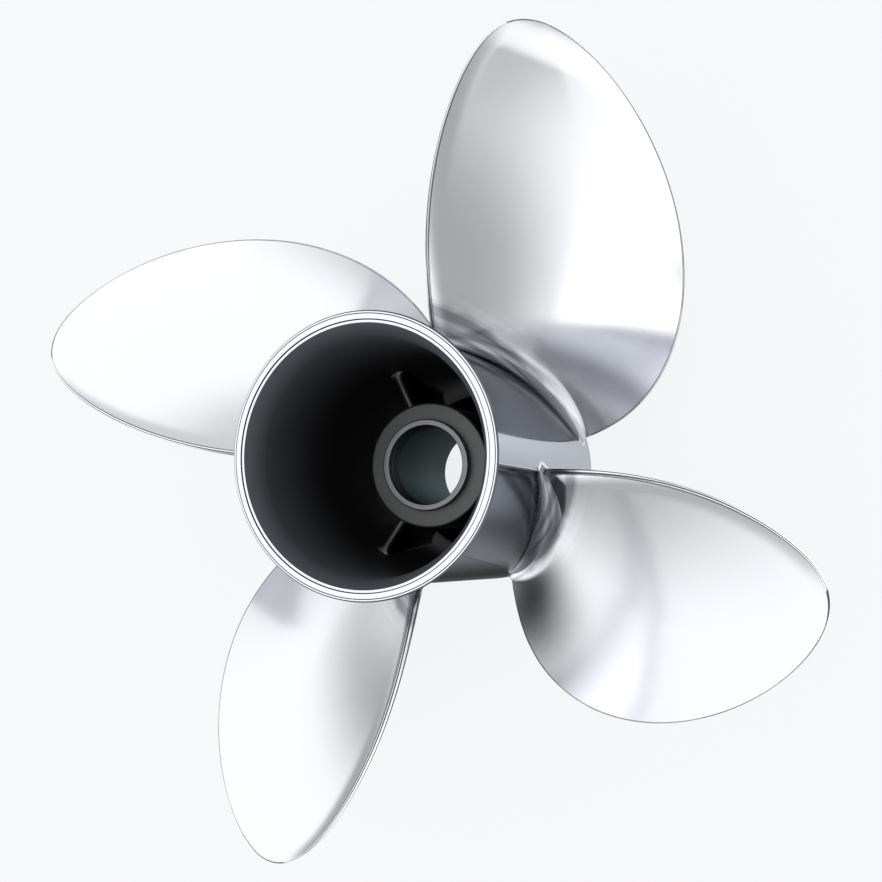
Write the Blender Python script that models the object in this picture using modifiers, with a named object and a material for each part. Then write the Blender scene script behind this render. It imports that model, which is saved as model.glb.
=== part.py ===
"""A four-blade boat propeller whose engine exhaust leaves through its hub.

The real one is a single casting in polished stainless steel. Here each of its natural
features is an object of its own: the hub barrel, the flared ring at its aft end, the
blades, the inner hub that takes the shaft, the collar its nut bears on and the ribs
that carry the inner hub. +Z runs aft along the shaft. The origin is the middle of the
hub's forward rim, on which the propeller stands. It is right-handed: seen from aft,
from +Z, it turns clockwise to drive ahead.
"""
import math

import bmesh
import bpy
from mathutils import Vector

MM = 0.001
GAP = 0.3 * MM  # left between neighbouring solids

# Hub barrel, as radii and as heights above the forward rim
HUB_LENGTH = 158 * MM
FRONT_RADIUS = 57 * MM
NECK_RADIUS = 53.3 * MM
NECK_HEIGHT = 138 * MM
RIM_CHAMFER = 1.5 * MM
GEARCASE_SOCKET_RADIUS = 51.5 * MM
GEARCASE_SOCKET_DEPTH = 6 * MM
PASSAGE_FRONT_RADIUS = 41.5 * MM
CHAMBER_RADIUS = 50 * MM
CHAMBER_FLOOR = 80 * MM

# Flared ring at the aft end
RING_RADIUS = 58.9 * MM
RING_CHAMFER = 0.7 * MM
RING_FACE_WIDTH = 2.7 * MM
RING_STEP_DEPTH = 0.5 * MM
RING_STEP_WIDTH = 1.5 * MM
FLARE_DEPTH = 12 * MM

# Inner hub, its collar and the ribs that carry it
INNER_HUB_RADIUS = 29.3 * MM
INNER_HUB_FRONT = 8 * MM
INNER_HUB_AFT = 86 * MM
BUSHING_BORE_RADIUS = 22 * MM
MOUTH_RADIUS = 18.3 * MM
MOUTH_LENGTH = 8 * MM
INNER_HUB_CHAMFER = 1 * MM
COLLAR_RADIUS = 21.2 * MM
COLLAR_HEIGHT = 4 * MM
COLLAR_CHAMFER = 0.5 * MM
RIBS = 3
FIRST_RIB_ANGLE = 12.5
RIB_THICKNESS = 3.4 * MM
RIB_FRONT = 25 * MM
RIB_AFT = 76 * MM

# Blades
BLADES = 4
FIRST_BLADE_ANGLE = 90
TIP_RADIUS = 190 * MM
ROOT_RADIUS = 53.7 * MM
PITCH = 411 * MM
GENERATOR_HEIGHT = 72.3 * MM
RAKE = 22.1
TIP_ANGLE = -3.3
SKEW = 18
ROOT_HALF_CHORD = 50.5 * MM
CHORD_GROWTH = 66.9 * MM
CHORD_TAPER = 38.6 * MM
ROOT_THICKNESS = 8 * MM
TIP_THICKNESS = 2.6 * MM
EDGE_THICKNESS = 1.8 * MM
EDGE_TAPER = 1.6  # above 1, the blade thins out long before its edges
FACE_HOLLOW = 1.5 * MM
CUP_DEPTH = 1.2 * MM
CUP_WIDTH = 0.16  # share of the half chord
FILLET_RADIUS = 9 * MM
FILLET_AT_EDGES = 0.2  # share of the fillet left at the leading and trailing edges

ROUND_STEPS = 72
INNER_ROUND_STEPS = 48
CHORD_STEPS = 14
FOOT_STEPS = 6
FOOT_HEIGHT = 12 * MM
SPAN_STEPS = 16

HELIX = PITCH / math.tau


def clear_scene():
    for item in list(bpy.data.objects):
        bpy.data.objects.remove(item, do_unlink=True)


def new_collection(name):
    collection = bpy.data.collections.new(name)
    bpy.context.scene.collection.children.link(collection)
    return collection


def steel(name, colour, roughness):
    """Stainless steel, as one Principled BSDF."""
    material = bpy.data.materials.new(name)
    material.use_nodes = True
    shader = material.node_tree.nodes["Principled BSDF"]
    shader.inputs["Base Color"].default_value = (*colour, 1)
    shader.inputs["Metallic"].default_value = 1
    shader.inputs["Roughness"].default_value = roughness
    return material


def polished(name):
    return steel(name + "_polished_steel", (0.78, 0.78, 0.80), 0.08)


def machined(name):
    return steel(name + "_machined_steel", (0.42, 0.42, 0.43), 0.35)


def as_cast(name):
    return steel(name + "_cast_steel", (0.16, 0.16, 0.17), 0.6)


def add_object(name, mesh, collection, material=None, parent=None):
    item = bpy.data.objects.new(name, mesh)
    collection.objects.link(item)
    item.parent = parent
    if material and not mesh.materials:
        mesh.materials.append(material)
    return item


def turned(name, profile, collection, steps, material=None, parent=None):
    """A closed ring of (radius, height) points turned about the Z axis.

    The points run down the outer side and up the inner one.
    """
    mesh = bpy.data.meshes.new(name)
    edges = [(i, (i + 1) % len(profile)) for i in range(len(profile))]
    mesh.from_pydata([(radius, 0, height) for radius, height in profile], edges, [])
    item = add_object(name, mesh, collection, material, parent)
    screw = item.modifiers.new("Turn", "SCREW")
    screw.angle = math.tau
    screw.steps = steps
    screw.render_steps = steps
    screw.use_merge_vertices = True
    screw.merge_threshold = 0.00001
    screw.use_smooth_shade = True
    return item


def turned_solid(name, profile, collection, steps):
    """An open run of (radius, height) points, closed to the axis at both ends."""
    mesh = bpy.data.meshes.new(name)
    points = [(0, profile[0][1])] + list(profile) + [(0, profile[-1][1])]
    edges = [(i, i + 1) for i in range(len(points) - 1)]
    mesh.from_pydata([(radius, 0, height) for radius, height in points], edges, [])
    item = add_object(name, mesh, collection)
    screw = item.modifiers.new("Turn", "SCREW")
    screw.angle = math.tau
    screw.steps = steps
    screw.render_steps = steps
    screw.use_merge_vertices = True
    screw.merge_threshold = 0.00001
    item.hide_render = True
    item.display_type = "WIRE"
    return item


def cut(item, cutter, operation="DIFFERENCE"):
    boolean = item.modifiers.new(cutter.name, "BOOLEAN")
    boolean.operation = operation
    boolean.solver = "EXACT"
    boolean.object = cutter


def barrel_radius(height):
    """The barrel's outer radius: a slow taper from the forward rim to the neck."""
    share = min(max(height / NECK_HEIGHT, 0), 1)
    return FRONT_RADIUS + (NECK_RADIUS - FRONT_RADIUS) * share


def passage_radius(height):
    """The inside of the barrel's wall, from the front of the passages to the chamber."""
    share = (height - GEARCASE_SOCKET_DEPTH) / (CHAMBER_FLOOR - GEARCASE_SOCKET_DEPTH)
    share = min(max(share, 0), 1)
    return PASSAGE_FRONT_RADIUS + (CHAMBER_RADIUS - PASSAGE_FRONT_RADIUS) * share


def make_barrel(collection, parent):
    profile = [
        (NECK_RADIUS, NECK_HEIGHT),
        (barrel_radius(RIM_CHAMFER), RIM_CHAMFER),
        (FRONT_RADIUS - RIM_CHAMFER, 0),
        (GEARCASE_SOCKET_RADIUS, 0),
        (GEARCASE_SOCKET_RADIUS, GEARCASE_SOCKET_DEPTH),
        (PASSAGE_FRONT_RADIUS, GEARCASE_SOCKET_DEPTH),
        (CHAMBER_RADIUS, CHAMBER_FLOOR),
        (CHAMBER_RADIUS, NECK_HEIGHT),
    ]
    name = "hub_barrel"
    return turned(name, profile, collection, ROUND_STEPS, polished(name), parent)


def flare(share):
    """Radius and height on the flare's outer side, from its rim at 0 to the neck at 1."""
    outer_height = HUB_LENGTH - RING_CHAMFER
    height = outer_height - FLARE_DEPTH * share
    return NECK_RADIUS + (RING_RADIUS - NECK_RADIUS) * (1 - share) ** 2, height


def inner_flare(share):
    """The same on its inner side, from the neck at 0 to the mouth at 1."""
    mouth_radius = RING_RADIUS - RING_CHAMFER - RING_FACE_WIDTH - RING_STEP_WIDTH
    mouth_height = HUB_LENGTH - RING_STEP_DEPTH
    height = mouth_height - FLARE_DEPTH * (1 - share)
    return CHAMBER_RADIUS + (mouth_radius - CHAMBER_RADIUS) * share**2, height


def make_ring(collection, parent):
    steps = 6
    face_inner_radius = RING_RADIUS - RING_CHAMFER - RING_FACE_WIDTH
    profile = [
        (face_inner_radius, HUB_LENGTH),
        (RING_RADIUS - RING_CHAMFER, HUB_LENGTH),
        *[flare(i / steps) for i in range(steps + 1)],
        (NECK_RADIUS, NECK_HEIGHT + GAP),
        (CHAMBER_RADIUS, NECK_HEIGHT + GAP),
        *[inner_flare(i / steps) for i in range(steps + 1)],
        (face_inner_radius, HUB_LENGTH - RING_STEP_DEPTH),
    ]
    name = "flared_ring"
    return turned(name, profile, collection, ROUND_STEPS, polished(name), parent)


def make_inner_hub(collection, parent):
    profile = [
        (INNER_HUB_RADIUS - INNER_HUB_CHAMFER, INNER_HUB_AFT),
        (INNER_HUB_RADIUS, INNER_HUB_AFT - INNER_HUB_CHAMFER),
        (INNER_HUB_RADIUS, INNER_HUB_FRONT + INNER_HUB_CHAMFER),
        (INNER_HUB_RADIUS - INNER_HUB_CHAMFER, INNER_HUB_FRONT),
        (BUSHING_BORE_RADIUS, INNER_HUB_FRONT),
        (BUSHING_BORE_RADIUS, INNER_HUB_AFT - MOUTH_LENGTH),
        (MOUTH_RADIUS, INNER_HUB_AFT - MOUTH_LENGTH),
        (MOUTH_RADIUS, INNER_HUB_AFT),
    ]
    name = "inner_hub"
    return turned(name, profile, collection, INNER_ROUND_STEPS, as_cast(name), parent)


def make_collar(collection, parent):
    aft = INNER_HUB_AFT + COLLAR_HEIGHT
    profile = [
        (COLLAR_RADIUS - COLLAR_CHAMFER, aft),
        (COLLAR_RADIUS, aft - COLLAR_CHAMFER),
        (COLLAR_RADIUS, INNER_HUB_AFT + GAP),
        (MOUTH_RADIUS, INNER_HUB_AFT + GAP),
        (MOUTH_RADIUS, aft),
    ]
    name = "nut_collar"
    return turned(name, profile, collection, INNER_ROUND_STEPS, machined(name), parent)


def make_ribs(collection, cutters, parent):
    """Plates that reach from the inner hub to the barrel's wall, cut to both."""
    spare = 10 * MM
    hub_side = turned_solid(
        "inner_hub_clearance",
        [
            (INNER_HUB_RADIUS + GAP, INNER_HUB_AFT + spare),
            (INNER_HUB_RADIUS + GAP, INNER_HUB_FRONT - spare),
        ],
        cutters,
        INNER_ROUND_STEPS,
    )
    wall_side = turned_solid(
        "passage_wall",
        [
            (passage_radius(RIB_AFT + spare) - GAP, RIB_AFT + spare),
            (passage_radius(RIB_AFT) - GAP, RIB_AFT),
            (passage_radius(RIB_FRONT) - GAP, RIB_FRONT),
            (passage_radius(RIB_FRONT) - GAP, RIB_FRONT - spare),
        ],
        cutters,
        ROUND_STEPS,
    )
    mesh = bpy.data.meshes.new("rib")
    plate = bmesh.new()
    bmesh.ops.create_cube(plate, size=1)
    middle = Vector((CHAMBER_RADIUS / 2 + spare, 0, (RIB_FRONT + RIB_AFT) / 2))
    size = Vector((CHAMBER_RADIUS, RIB_THICKNESS, RIB_AFT - RIB_FRONT))
    bmesh.ops.scale(plate, vec=size, verts=plate.verts)
    bmesh.ops.translate(plate, vec=middle, verts=plate.verts)
    plate.to_mesh(mesh)
    plate.free()
    for i in range(RIBS):
        name = f"rib_{i + 1}"
        rib = add_object(name, mesh.copy(), collection, as_cast(name), parent)
        rib.rotation_euler.z = math.radians(FIRST_RIB_ANGLE + 360 / RIBS * i)
        cut(rib, wall_side, "INTERSECT")
        cut(rib, hub_side)


def half_chord(u):
    growth = ROOT_HALF_CHORD + CHORD_GROWTH * u - CHORD_TAPER * u**3
    return math.sqrt(max(1 - u * u, 0)) * growth


def helix_point(u, s):
    """A point of the blade's datum surface.

    u runs from 0 at the root to 1 at the tip, s from -1 at the leading edge to 1 at
    the trailing edge, along the helix of the blade's pitch.
    """
    radius = ROOT_RADIUS + (TIP_RADIUS - ROOT_RADIUS) * u
    middle = math.radians(TIP_ANGLE - SKEW * (1 - u * u))
    angle = middle + s * half_chord(u) / math.hypot(radius, HELIX)
    rake = (radius - ROOT_RADIUS) * math.tan(math.radians(RAKE))
    height = GENERATOR_HEIGHT + rake + HELIX * angle
    return Vector((radius * math.cos(angle), radius * math.sin(angle), height))


def face_normal(u, s):
    """The datum surface's normal on its aft side."""
    step = 0.001
    u = min(u, 1 - 5 * step)
    along_span = helix_point(u + step, s) - helix_point(u - step, s)
    along_chord = helix_point(u, s + step) - helix_point(u, s - step)
    return along_span.cross(along_chord).normalized()


def fillet(height, radius):
    """How far a round fillet stands out from the blade, this high above the barrel."""
    short = min(max(radius - height, 0), radius)
    return radius - math.sqrt(radius * radius - short * short)


def hollow(s):
    """How far the driving face lies forward of its edges: a hollow and the cup's lip."""
    inside = min((1 - s) / CUP_WIDTH, 1)
    lip = CUP_DEPTH * (1 - (1 - inside) ** 2) * min(1 + s, 1)
    return FACE_HOLLOW * (1 - s * s) + lip


def thickness(u, s):
    middle = TIP_THICKNESS + (ROOT_THICKNESS - TIP_THICKNESS) * (1 - max(u, 0)) ** 1.3
    return EDGE_THICKNESS + (middle - EDGE_THICKNESS) * (1 - s * s) ** EDGE_TAPER


def blade_section(u):
    """A closed ring of points: the aft face from edge to edge, then the back again."""
    stations = [-math.cos(math.pi * i / CHORD_STEPS) for i in range(CHORD_STEPS + 1)]
    fade = min((1 - u) / 0.1, 1)
    aft_face = []
    back = []
    for s in stations:
        datum = helix_point(u, s)
        normal = face_normal(u, s)
        height = datum.xy.length - barrel_radius(datum.z)
        root = FILLET_RADIUS * (1 - (1 - FILLET_AT_EDGES) * s * s)
        proud = fillet(height, root)
        face = EDGE_THICKNESS / 2 - hollow(s) * fade
        aft_face.append(datum + normal * (face + proud))
        back.append(datum + normal * (face - thickness(u, s) - proud))
    return aft_face + back[::-1]


def span_stations():
    """Places along the blade: close together in the root fillet and at the tip."""
    span = TIP_RADIUS - ROOT_RADIUS
    inside = -5 * MM / span
    foot = [FOOT_HEIGHT / span * (i / FOOT_STEPS) ** 1.5 for i in range(FOOT_STEPS + 1)]
    first = math.asin(FOOT_HEIGHT / span)
    last = math.radians(88)
    rest = [first + (last - first) * i / SPAN_STEPS for i in range(1, SPAN_STEPS + 1)]
    return [inside] + foot + [math.sin(angle) for angle in rest]


def blade_mesh():
    """A loft through the blade's sections, closed by a point at the tip."""
    mesh = bpy.data.meshes.new("blade")
    loft = bmesh.new()
    rings = [[loft.verts.new(point) for point in blade_section(u)] for u in span_stations()]
    count = len(rings[0])
    for inner, outer in zip(rings, rings[1:]):
        for i in range(count):
            j = (i + 1) % count
            loft.faces.new((inner[i], inner[j], outer[j], outer[i]))
    loft.faces.new(rings[0][::-1])
    tip = loft.verts.new(helix_point(1, 0))
    for i in range(count):
        loft.faces.new((rings[-1][i], rings[-1][(i + 1) % count], tip))
    bmesh.ops.recalc_face_normals(loft, faces=loft.faces)
    loft.to_mesh(mesh)
    loft.free()
    mesh.shade_smooth()
    mesh.set_sharp_from_angle(angle=math.radians(40))
    return mesh


def make_blades(collection, cutters, parent):
    spare = 20 * MM
    barrel_side = turned_solid(
        "barrel_clearance",
        [
            (NECK_RADIUS + GAP, HUB_LENGTH),
            (NECK_RADIUS + GAP, NECK_HEIGHT),
            (FRONT_RADIUS + GAP, 0),
            (FRONT_RADIUS + GAP, -spare),
        ],
        cutters,
        ROUND_STEPS,
    )
    mesh = blade_mesh()
    for i in range(BLADES):
        name = f"blade_{i + 1}"
        blade = add_object(name, mesh.copy(), collection, polished(name), parent)
        blade.rotation_euler.z = math.radians(FIRST_BLADE_ANGLE + 360 / BLADES * i)
        cut(blade, barrel_side)


def main():
    clear_scene()
    parts = new_collection("ship_propeller")
    cutters = new_collection("cutters")
    shaft_line = bpy.data.objects.new("shaft_line", None)
    parts.objects.link(shaft_line)
    make_barrel(parts, shaft_line)
    make_ring(parts, shaft_line)
    make_inner_hub(parts, shaft_line)
    make_collar(parts, shaft_line)
    make_ribs(parts, cutters, shaft_line)
    make_blades(parts, cutters, shaft_line)


main()
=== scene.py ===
# %% [markdown]
# # A four-blade propeller in polished stainless steel
#
# The real object is one investment casting: a hollow barrel that lets the engine's
# exhaust out through its aft end, a flared ring there, four raked blades, and an inner
# hub for the shaft, carried by three thin ribs. The imported model holds the same
# features as plain solids. This lesson dresses them one by one, in the same frame:
# metres, +Z aft along the shaft, and the forward rim standing on the floor at height 0.
#
# The first cell loads the imported model; the dressed one is measured at the end.

# %% Load the imported model
import math

import bpy
import numpy as np
from mathutils import Euler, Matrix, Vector


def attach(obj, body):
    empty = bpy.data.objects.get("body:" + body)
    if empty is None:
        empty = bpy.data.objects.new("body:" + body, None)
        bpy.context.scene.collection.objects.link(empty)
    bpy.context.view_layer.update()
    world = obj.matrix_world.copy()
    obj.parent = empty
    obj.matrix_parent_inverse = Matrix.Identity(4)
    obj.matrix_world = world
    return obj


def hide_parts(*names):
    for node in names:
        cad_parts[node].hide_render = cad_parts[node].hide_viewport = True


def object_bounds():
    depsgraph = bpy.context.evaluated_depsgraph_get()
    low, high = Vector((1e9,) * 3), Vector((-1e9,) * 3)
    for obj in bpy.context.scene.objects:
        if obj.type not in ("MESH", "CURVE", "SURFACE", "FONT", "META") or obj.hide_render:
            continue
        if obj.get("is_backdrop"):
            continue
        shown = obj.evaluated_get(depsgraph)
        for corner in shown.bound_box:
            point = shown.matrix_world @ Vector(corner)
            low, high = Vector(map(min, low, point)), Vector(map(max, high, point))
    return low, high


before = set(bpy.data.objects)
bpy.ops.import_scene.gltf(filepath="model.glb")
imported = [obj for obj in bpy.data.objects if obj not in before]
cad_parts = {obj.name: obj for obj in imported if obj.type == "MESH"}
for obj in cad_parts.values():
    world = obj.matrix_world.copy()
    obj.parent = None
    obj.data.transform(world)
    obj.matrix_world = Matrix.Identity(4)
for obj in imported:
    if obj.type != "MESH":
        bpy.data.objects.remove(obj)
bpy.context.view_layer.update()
MM = 0.001
BODY = "root"
print("nodes:", sorted(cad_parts))

# %% [markdown]
# ## The camera
#
# The outlines of the four alike blades, of the ring and of the bore fix the camera: it
# looks down on the propeller from 0.4 m above the ring, a little to one side. A lens
# shift would also straighten a photograph, but here it only puts the shaft left of
# the middle of the picture, as the photograph has it. The four values below come from
# a least-squares fit to those outlines, made outside this script, and are rounded.

# %% Place the camera
CAMERA_PLACE = (0.192, 0.0323, 0.5545)
CAMERA_TURN = (-0.8, 19.42, 17.29)
CAMERA_LENS = 44.36
CAMERA_SHIFT = (-0.0492, 0.1087)

lens = bpy.data.cameras.new("studio_camera")
lens.sensor_width = 36
lens.lens = CAMERA_LENS
lens.shift_x, lens.shift_y = CAMERA_SHIFT
lens.clip_start = 0.01
camera = bpy.data.objects.new("studio_camera", lens)
camera.location = CAMERA_PLACE
camera.rotation_euler = Euler([math.radians(angle) for angle in CAMERA_TURN])
bpy.context.scene.collection.objects.link(camera)
bpy.context.scene.camera = camera
print("camera", [round(value, 3) for value in camera.location], "lens", lens.lens, "mm")

# %% [markdown]
# ## Helpers for node trees
#
# Materials and Geometry Nodes are both trees of nodes. One small function adds a node,
# sets it up and links what feeds it, so the cells below read as lists of steps. Colours
# are written as the sRGB hex values that an eye would pick from a picture. The renderer
# wants linear light, so a second function converts them, the one place where it is done.
# The others wrap the nodes that come again and again: a sum, a noise, a ramp from one
# value to another, a mix of two colours, a bump, and a point's distance from the shaft
# and height.

# %% Define the helpers
def add_node(tree, kind, inputs=None, **settings):
    """A node of this kind. An input is a plain value, or the socket that feeds it."""
    node = tree.nodes.new(kind)
    for name, value in settings.items():
        setattr(node, name, value)
    for socket, value in (inputs or {}).items():
        if isinstance(value, bpy.types.NodeSocket):
            tree.links.new(value, node.inputs[socket])
        else:
            node.inputs[socket].default_value = value
    return node


def linear(hex_colour):
    """Linear RGBA of an sRGB colour such as #c8c8cc."""
    parts = [int(hex_colour[i : i + 2], 16) / 255 for i in (1, 3, 5)]
    light = [p / 12.92 if p <= 0.04045 else ((p + 0.055) / 1.055) ** 2.4 for p in parts]
    return (*light, 1)


def maths(tree, operation, *numbers):
    """The result of one sum on plain values or sockets."""
    fed = dict(enumerate(numbers))
    return add_node(tree, "ShaderNodeMath", fed, operation=operation).outputs[0]


def noise(tree, place, size, detail):
    """Random soft blotches of about this size, from 0 to 1."""
    fed = {"Vector": place, "Scale": 1 / size, "Detail": detail}
    return add_node(tree, "ShaderNodeTexNoise", fed).outputs["Fac"]


def ramp(tree, value, start, end, low=0.0, high=1.0, curve="SMOOTHSTEP", label=""):
    """Low up to the start value, high from the end value on, and a slope between."""
    fed = {"Value": value, "From Min": start, "From Max": end, "To Min": low, "To Max": high}
    node = add_node(tree, "ShaderNodeMapRange", fed, interpolation_type=curve, label=label)
    return node.outputs["Result"]


def mixed(tree, share, first, second):
    """From the first colour to the second by the share."""
    fed = {"Factor": share, "A": first, "B": second}
    return add_node(tree, "ShaderNodeMix", fed, data_type="RGBA").outputs["Result"]


def distance_of(tree, place):
    """How far a point is from the shaft line."""
    flat = add_node(tree, "ShaderNodeVectorMath", {0: place, 1: (1, 1, 0)}, operation="MULTIPLY")
    fed = {0: flat.outputs["Vector"]}
    return add_node(tree, "ShaderNodeVectorMath", fed, operation="LENGTH").outputs["Value"]


def height_of(tree, place):
    """How high a point is above the forward rim."""
    return add_node(tree, "ShaderNodeSeparateXYZ", {"Vector": place}).outputs["Z"]


def bumped(tree, shader, height, distance, strength):
    """Makes the surface look as if it rose and fell by this distance."""
    fed = {"Height": height, "Distance": distance, "Strength": strength}
    bump = add_node(tree, "ShaderNodeBump", fed)
    tree.links.new(bump.outputs["Normal"], shader.inputs["Normal"])


print("mid grey #808080 is", round(linear("#808080")[0], 3), "in linear light")

# %% [markdown]
# ## Polished stainless steel
#
# The outside of the casting is ground and buffed to a near mirror. Bare steel has
# hardly a colour of its own: what the eye reads is the studio mirrored in it. Two
# things keep it from looking like chrome. The buffing wheel leaves the surface slightly
# wavy over one or two centimetres, so edges in the reflections wander, and it leaves a
# haze of very fine lines, which spreads highlights. Roughness from a noise pattern
# gives the haze, and a weak bump gives the waves.
#
# The root fillets are painted darker, in a zone that gets wider towards the trailing
# edge, with streaks along them from a noise that is drawn out that way: painted shade
# where blade and barrel meet. Beyond that zone the tint brightens over another few
# centimetres, as the painted shade near the hub fades. The barrel has a darker tint all
# over: painted shade between the blades. How much a metal mirrors at a flat angle is
# set by its specular tint, which is lowered here until the tones match the photograph.

# %% Make the polished steel
def new_material(name):
    """An empty material tree with its output, and its Principled shader."""
    material = bpy.data.materials.new(name)
    material.use_nodes = True
    tree = material.node_tree
    tree.nodes.clear()
    shader = add_node(tree, "ShaderNodeBsdfPrincipled")
    add_node(tree, "ShaderNodeOutputMaterial", {"Surface": shader.outputs["BSDF"]})
    place = add_node(tree, "ShaderNodeTexCoord").outputs["Object"]
    return material, tree, shader, place


WAVE_LENGTH = 16 * MM
LINE_WIDTH = 1.2 * MM
HAZE_SPREAD = 0.2
STREAK_WIDTH = 2.5 * MM
STREAK_STRETCH = 20
STREAK_CONTRAST = (0.3, 0.7)
# Where the painted shade at the blades' roots lies, and how it fades away from the hub.
ROOT_SHADE_RADIUS = 50 * MM
ROOT_SHADE_SLOPE = 0.25
ROOT_SHADE_LEAST = 60 * MM
ROOT_SHADE_WANDER = 6 * MM
ROOT_SHADE_EDGE = 2 * MM
ROOT_SHADE_SHARE = 0.6
ROOT_HAZE = 0.45
SHADE_FADES = (58 * MM, 88 * MM)


def root_shade_zone(tree, place, waves):
    """The streaks, and how far a point lies outside the painted shade at the root, 0 to 1.

    The painted shade ends at a distance from the shaft that grows with the height, and
    its edge wanders with the waves; it also fades with the distance from the shaft.
    """
    distance = distance_of(tree, place)
    height = height_of(tree, place)
    widening = maths(tree, "MULTIPLY_ADD", height, ROOT_SHADE_SLOPE, ROOT_SHADE_RADIUS)
    shade_end = maths(tree, "MAXIMUM", widening, ROOT_SHADE_LEAST)
    beyond = maths(tree, "SUBTRACT", distance, shade_end)
    uneven = maths(tree, "MULTIPLY_ADD", waves, -ROOT_SHADE_WANDER, beyond)
    edge = [-ROOT_SHADE_WANDER / 2 + side * ROOT_SHADE_EDGE for side in (-1, 1)]
    off_fillet = ramp(tree, uneven, *edge, high=ROOT_SHADE_SHARE)
    off_hub = ramp(tree, distance, *SHADE_FADES, high=1 - ROOT_SHADE_SHARE)
    along = maths(tree, "MULTIPLY", height, 1 / STREAK_STRETCH)
    drawn_out = add_node(tree, "ShaderNodeCombineXYZ", {"X": beyond, "Y": along})
    streaks = noise(tree, drawn_out.outputs["Vector"], STREAK_WIDTH, 2)
    streaks = ramp(tree, streaks, *STREAK_CONTRAST, curve="LINEAR")
    return streaks, maths(tree, "ADD", off_fillet, off_hub)


def polished_steel(name, tint, haze, wave_height, grazing, fillet=None):
    """Buffed stainless steel: haze is its roughness, wave_height the swell of its bump.

    The grazing colour is how well it mirrors at a flat angle. On the root fillets the
    tint gives way to streaks between the two colours of painted shade, if they are given.
    """
    material, tree, shader, place = new_material(name)
    waves = noise(tree, place, WAVE_LENGTH, 1.5)
    lines = noise(tree, place, LINE_WIDTH, 3)
    least, most = haze * (1 - HAZE_SPREAD), haze * (1 + HAZE_SPREAD)
    spread = ramp(tree, lines, 0, 1, least, most, curve="LINEAR")
    bumped(tree, shader, waves, wave_height, 1.0)
    shader.inputs["Base Color"].default_value = linear(tint)
    shader.inputs["Specular Tint"].default_value = linear(grazing)
    shader.inputs["Metallic"].default_value = 1
    if fillet is not None:
        streaks, out_of_shade = root_shade_zone(tree, place, waves)
        streaky = mixed(tree, streaks, *[linear(tone) for tone in fillet])
        colour = mixed(tree, out_of_shade, streaky, linear(tint))
        tree.links.new(colour, shader.inputs["Base Color"])
        softer = ramp(tree, out_of_shade, 0, 1, ROOT_HAZE, 1, curve="LINEAR")
        spread = maths(tree, "MULTIPLY", spread, softer)
    tree.links.new(spread, shader.inputs["Roughness"])
    return material


STEEL = polished_steel("buffed_stainless_steel", "#cccfd6", 0.08, 0.02 * MM, "#e6e6e6")
# The blades: painted shade darkens the tint at the root fillets and near the hub.
BLADE_STEEL = polished_steel(
    "satin_buffed_stainless_steel",
    "#cecfd3",
    0.17,
    0.03 * MM,
    "#e6e6e6",
    fillet=("#505257", "#8c8f95"),
)
# The barrel's darker tint and lower grazing colour are painted shade between the blades.
BARREL_STEEL = polished_steel(
    "shaded_buffed_stainless_steel", "#868a91", 0.09, 0.02 * MM, "#b4b4b4"
)
print("made", STEEL.name, BLADE_STEEL.name, BARREL_STEEL.name)

# %% [markdown]
# ## As-cast, filed and faced steel
#
# The inside of the barrel, the inner hub and the ribs are left as they came out of the
# ceramic mould: grey, matt and finely grained, and darkened by heat. The grain of the
# mould is under a millimetre. The colour varies softly over some centimetres, and a
# bump of the grain breaks up what light still reaches them.
#
# Exhaust leaves a skin of soot and scale. Such a skin is hardly metal to the eye, so the
# chamber's shader is mostly matt, and its colour sinks to black with depth: soot, and
# painted shade deeper in the chamber. The ribs keep bare metal on their aft edges and
# have black sides: painted shade. The bore is bare but lies in shade, and its darker
# colour is painted shade. The ring's fine grooves are painted near black: painted shade
# in them. The collar is faced on a lathe and is the lightest. The blades' edges are
# painted as a dark, grainy line: painted dark reflection and shade along them.

# %% Make the as-cast, filed and faced steel
PATCH_SIZE = 22 * MM
GRAIN_SIZE = 0.7 * MM
GRAIN_DEPTH = 0.08 * MM
# Near black, for soot and painted shade.
SHADE_AND_SOOT_COLOUR = "#08080a"


def as_cast_steel(name, dark, light, roughness, metallic=1, grazing="#ffffff", shade_and_soot=None):
    """Grey cast metal; between two heights, if given, soot and painted shade darken it."""
    material, tree, shader, place = new_material(name)
    patches = noise(tree, place, PATCH_SIZE, 4)
    colour = mixed(tree, patches, linear(dark), linear(light))
    bumped(tree, shader, noise(tree, place, GRAIN_SIZE, 2), GRAIN_DEPTH, 0.6)
    if shade_and_soot is not None:
        darkening = ramp(tree, height_of(tree, place), *shade_and_soot)
        colour = mixed(tree, darkening, colour, linear(SHADE_AND_SOOT_COLOUR))
    tree.links.new(colour, shader.inputs["Base Color"])
    shader.inputs["Metallic"].default_value = metallic
    shader.inputs["Specular Tint"].default_value = linear(grazing)
    shader.inputs["Roughness"].default_value = roughness
    return material


# The chamber darkens with depth: soot, and painted shade deep inside.
CHAMBER_STEEL = as_cast_steel(
    "sooty_shaded_cast_steel", "#34363c", "#3c3e44", 0.6, metallic=0.1, shade_and_soot=(156 * MM, 85 * MM)
)
HUB_STEEL = as_cast_steel("as_cast_steel", "#4a4c4c", "#585a5a", 0.5)
# The ribs' sides are painted black below their aft edges: painted shade.
RIB_STEEL = as_cast_steel(
    "half_shaded_cast_steel", "#58585c", "#66666a", 0.5, shade_and_soot=(76 * MM, 70 * MM)
)
# The bore's darker colour and lower grazing colour are painted shade.
BORE_STEEL = as_cast_steel("shaded_cast_steel", "#34383a", "#3e4244", 0.5, grazing="#a8acac")
COLLAR_STEEL = as_cast_steel("faced_steel", "#68686c", "#747478", 0.4)
# Painted dark lines along the blades' edges and the ring's rim: painted reflection and shade.
PAINTED_EDGE_STEEL = as_cast_steel("painted_dark_edge_steel", "#1c1d20", "#6c6e74", 0.35, grazing="#606060")
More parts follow.
